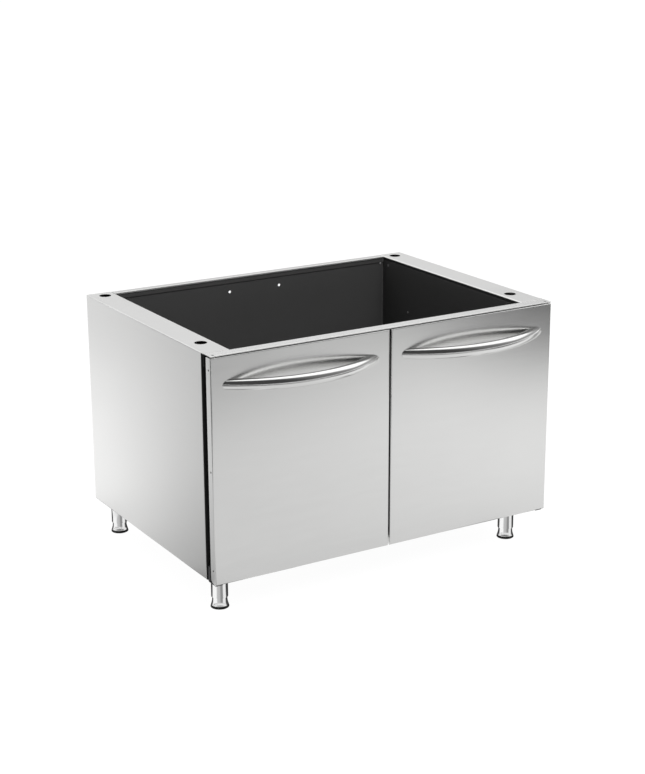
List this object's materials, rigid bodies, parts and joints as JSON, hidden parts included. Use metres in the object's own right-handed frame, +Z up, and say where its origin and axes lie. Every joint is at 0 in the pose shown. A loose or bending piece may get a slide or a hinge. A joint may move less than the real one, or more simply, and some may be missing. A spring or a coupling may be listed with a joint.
{
  "type": "base cabinet",
  "caption": "Open-topped stainless steel base cabinet with box-section sides, pivoted doors with bowed tube handles and adjustable round feet.",
  "frame": {"origin": "on the floor, under the middle of the whole outline with its handles", "axes": "+Z up, the doors face -Y, +X to the right as seen from the front"},
  "size_m": [0.8, 0.6304, 0.54],
  "materials": {
    "brushed_steel": "fine horizontal brushing, satin",
    "dark_coating": "dark grey coating, satin",
    "polished_steel": "polished",
    "plated_steel": "zinc plated, satin",
    "rubber": "matt black",
    "nylon": "natural nylon",
    "magnet_housing": "matt dark plastic"
  },
  "bodies": {
    "carcass": {"front_top_rail": "brushed_steel", "rear_top_rail": "brushed_steel", "rear_panel": "dark_coating", "floor_panel": "dark_coating", "left_side_panel": "brushed_steel", "left_inner_liner": "dark_coating", "left_base_runner": "plated_steel", "left_lower_hinge_bracket": "plated_steel", "left_magnet_catch": "magnet_housing", "left_upper_pivot_pin": "plated_steel", "left_lower_pivot_pin": "plated_steel", "front_left_foot_sleeve": "polished_steel", "front_left_foot_nut": "plated_steel", "rear_left_foot_sleeve": "polished_steel", "rear_left_foot_nut": "plated_steel", "right_side_panel": "brushed_steel", "right_inner_liner": "dark_coating", "right_base_runner": "plated_steel", "right_lower_hinge_bracket": "plated_steel", "right_magnet_catch": "magnet_housing", "right_upper_pivot_pin": "plated_steel", "right_lower_pivot_pin": "plated_steel", "front_right_foot_sleeve": "polished_steel", "front_right_foot_nut": "plated_steel", "rear_right_foot_sleeve": "polished_steel", "rear_right_foot_nut": "plated_steel"},
    "left_door": {"left_door_outer_pan": "brushed_steel", "left_door_inner_pan": "brushed_steel", "left_handle": "brushed_steel", "left_handle_outer_plug": "plated_steel", "left_handle_inner_plug": "plated_steel", "left_handle_outer_screw": "plated_steel", "left_handle_inner_screw": "plated_steel", "left_upper_pivot_bush": "nylon", "left_lower_pivot_bush": "nylon", "left_strike_plate": "plated_steel"},
    "front_left_foot": {"front_left_foot_post": "polished_steel", "front_left_foot_pad": "rubber"},
    "rear_left_foot": {"rear_left_foot_post": "polished_steel", "rear_left_foot_pad": "rubber"},
    "right_door": {"right_door_outer_pan": "brushed_steel", "right_door_inner_pan": "brushed_steel", "right_handle": "brushed_steel", "right_handle_outer_plug": "plated_steel", "right_handle_inner_plug": "plated_steel", "right_handle_outer_screw": "plated_steel", "right_handle_inner_screw": "plated_steel", "right_upper_pivot_bush": "nylon", "right_lower_pivot_bush": "nylon", "right_strike_plate": "plated_steel"},
    "front_right_foot": {"front_right_foot_post": "polished_steel", "front_right_foot_pad": "rubber"},
    "rear_right_foot": {"rear_right_foot_post": "polished_steel", "rear_right_foot_pad": "rubber"}
  },
  "joints": [
    {"name": "left_door_hinge", "type": "hinge", "parent": "carcass", "child": "left_door", "pos_m": [-0.39, -0.2458, 0.08], "axis": [0, 0, -1], "range_deg": [0, 180]},
    {"name": "right_door_hinge", "type": "hinge", "parent": "carcass", "child": "right_door", "pos_m": [0.39, -0.2458, 0.08], "axis": [0, 0, 1], "range_deg": [0, 180]},
    {"name": "front_left_foot_height", "type": "slide", "parent": "carcass", "child": "front_left_foot", "axis": [0, 0, -1], "range_m": [0, 0.03]},
    {"name": "front_right_foot_height", "type": "slide", "parent": "carcass", "child": "front_right_foot", "axis": [0, 0, -1], "range_m": [0, 0.03]},
    {"name": "rear_left_foot_height", "type": "slide", "parent": "carcass", "child": "rear_left_foot", "axis": [0, 0, -1], "range_m": [0, 0.03]},
    {"name": "rear_right_foot_height", "type": "slide", "parent": "carcass", "child": "rear_right_foot", "axis": [0, 0, -1], "range_m": [0, 0.03]}
  ]
}
